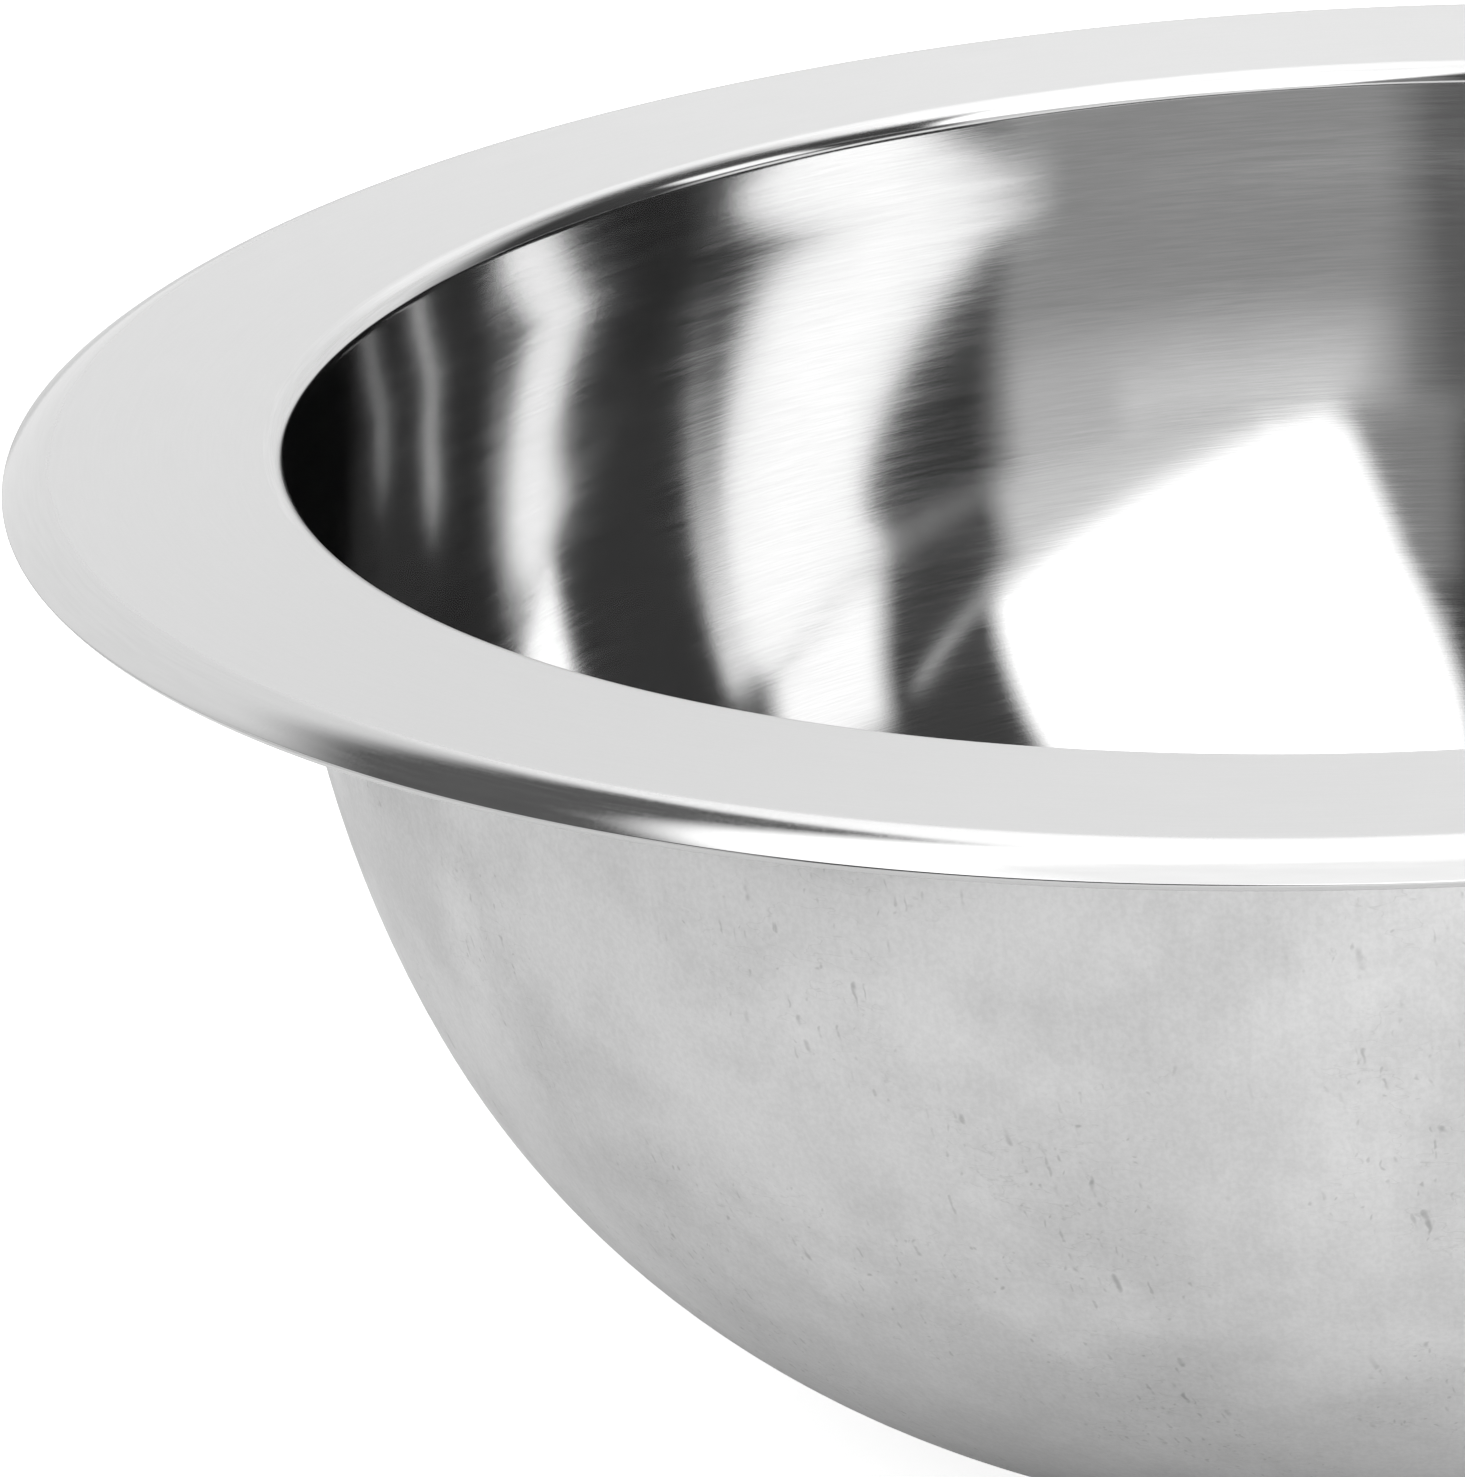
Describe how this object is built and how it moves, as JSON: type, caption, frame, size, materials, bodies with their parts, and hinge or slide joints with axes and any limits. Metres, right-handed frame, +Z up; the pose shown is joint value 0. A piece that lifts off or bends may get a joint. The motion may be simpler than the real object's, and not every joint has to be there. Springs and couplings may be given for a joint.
{
  "type": "mixing bowl",
  "caption": "Round pressed stainless-steel mixing bowl with a flat base, a nearly hemispherical body, a wide flange and a turned-down lip.",
  "frame": {"origin": "centre of the face that the bowl rests on, on the bowl's axis", "axes": "+Z up along the bowl's axis, out of its mouth; the bowl is round, so +X and +Y are any two level directions"},
  "size_m": [0.298, 0.298, 0.116],
  "materials": {
    "steel": "satin circular brushing on the flange, polished inside, dull mill finish outside"
  },
  "bodies": {
    "root": {"bowl": "steel"}
  },
  "joints": []
}
